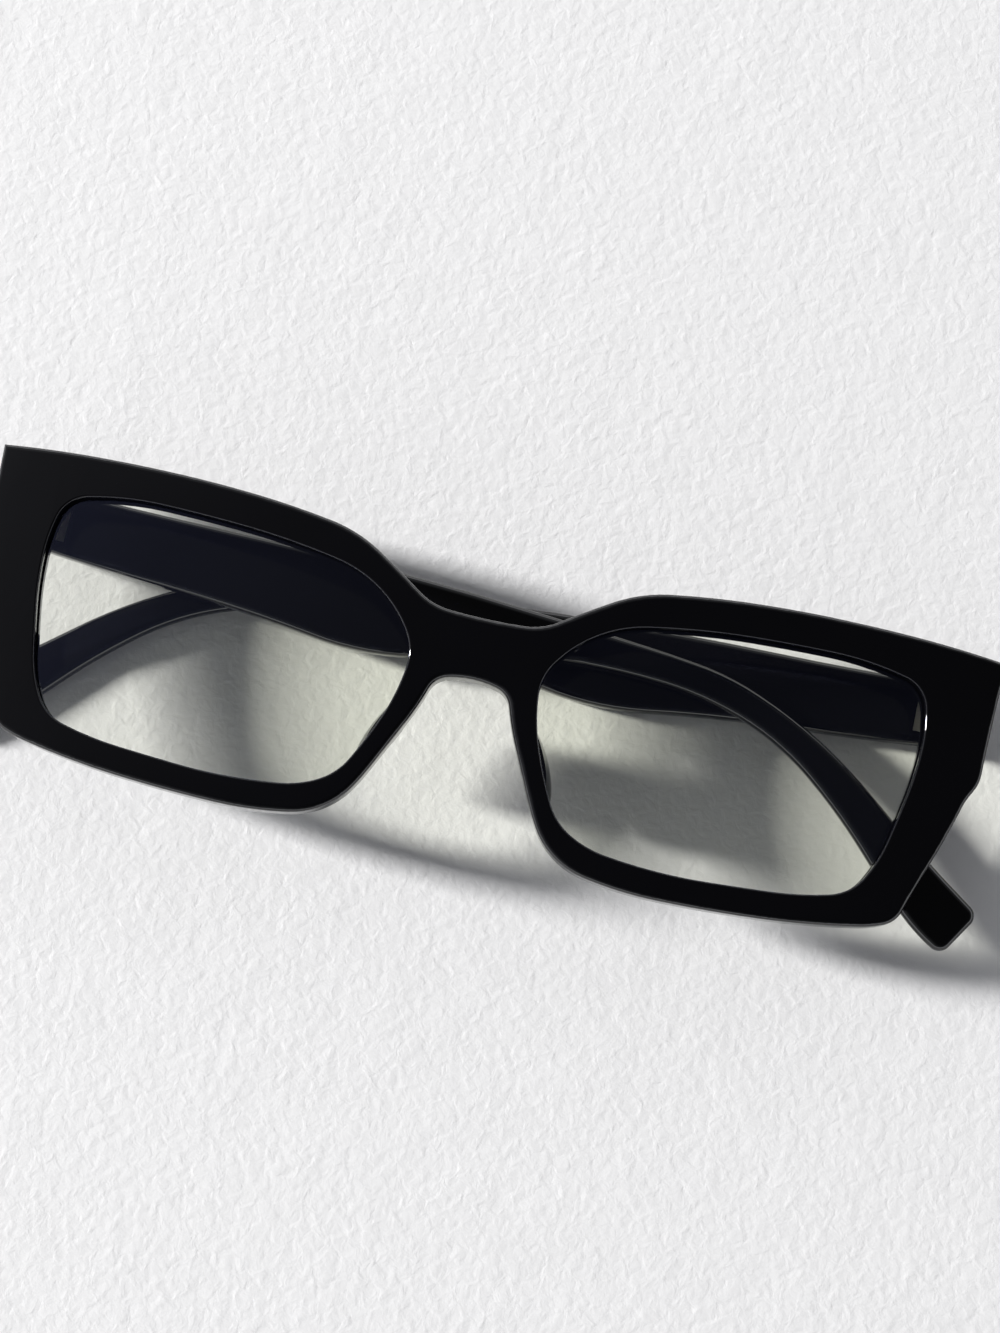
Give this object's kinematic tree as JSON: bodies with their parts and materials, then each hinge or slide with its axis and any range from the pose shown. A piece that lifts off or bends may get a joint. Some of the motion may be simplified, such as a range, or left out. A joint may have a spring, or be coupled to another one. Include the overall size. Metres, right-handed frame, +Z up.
{
  "type": "eyeglasses",
  "caption": "Rectangular eyeglasses with a one-piece glossy plastic front, clear lenses and wide hinged temples, lying face up on their folded temples.",
  "frame": {"origin": "on the surface that the folded glasses lie on, under the middle of their length and width", "axes": "+Z up, out of the lenses; +X along the front to the wearer's left; +Y to the front's top edge"},
  "size_m": [0.1466, 0.0432, 0.0158],
  "materials": {
    "front_plastic": "polished black",
    "temple_plastic": "polished black",
    "pad_plastic": "polished black",
    "lens": "clear, with an anti-reflection coating",
    "hinge_metal": "satin",
    "screw_metal": "polished",
    "core_metal": "drawn"
  },
  "bodies": {
    "front": {"front_frame": "front_plastic", "lens_right": "lens", "nose_pad_right": "pad_plastic", "front_hinge_right": "hinge_metal", "hinge_screw_right": "screw_metal", "front_stud_right_upper": "hinge_metal", "front_stud_right_lower": "hinge_metal", "lens_left": "lens", "nose_pad_left": "pad_plastic", "front_hinge_left": "hinge_metal", "hinge_screw_left": "screw_metal", "front_stud_left_upper": "hinge_metal", "front_stud_left_lower": "hinge_metal"},
    "temple_right": {"temple_right": "temple_plastic", "temple_hinge_right": "hinge_metal", "temple_stud_right_upper": "hinge_metal", "temple_stud_right_lower": "hinge_metal", "core_wire_right": "core_metal"},
    "temple_left": {"temple_left": "temple_plastic", "temple_hinge_left": "hinge_metal", "temple_stud_left_upper": "hinge_metal", "temple_stud_left_lower": "hinge_metal", "core_wire_left": "core_metal"}
  },
  "joints": [
    {"name": "temple_right_fold", "type": "hinge", "parent": "front", "child": "temple_right", "pos_m": [-0.0656, 0.01307, 0.00721], "axis": [0, 1, 0], "range_deg": [0, 96]},
    {"name": "temple_left_fold", "type": "hinge", "parent": "front", "child": "temple_left", "pos_m": [0.06558, 0.01307, 0.0046], "axis": [0, -1, 0], "range_deg": [0, 93.4]}
  ]
}
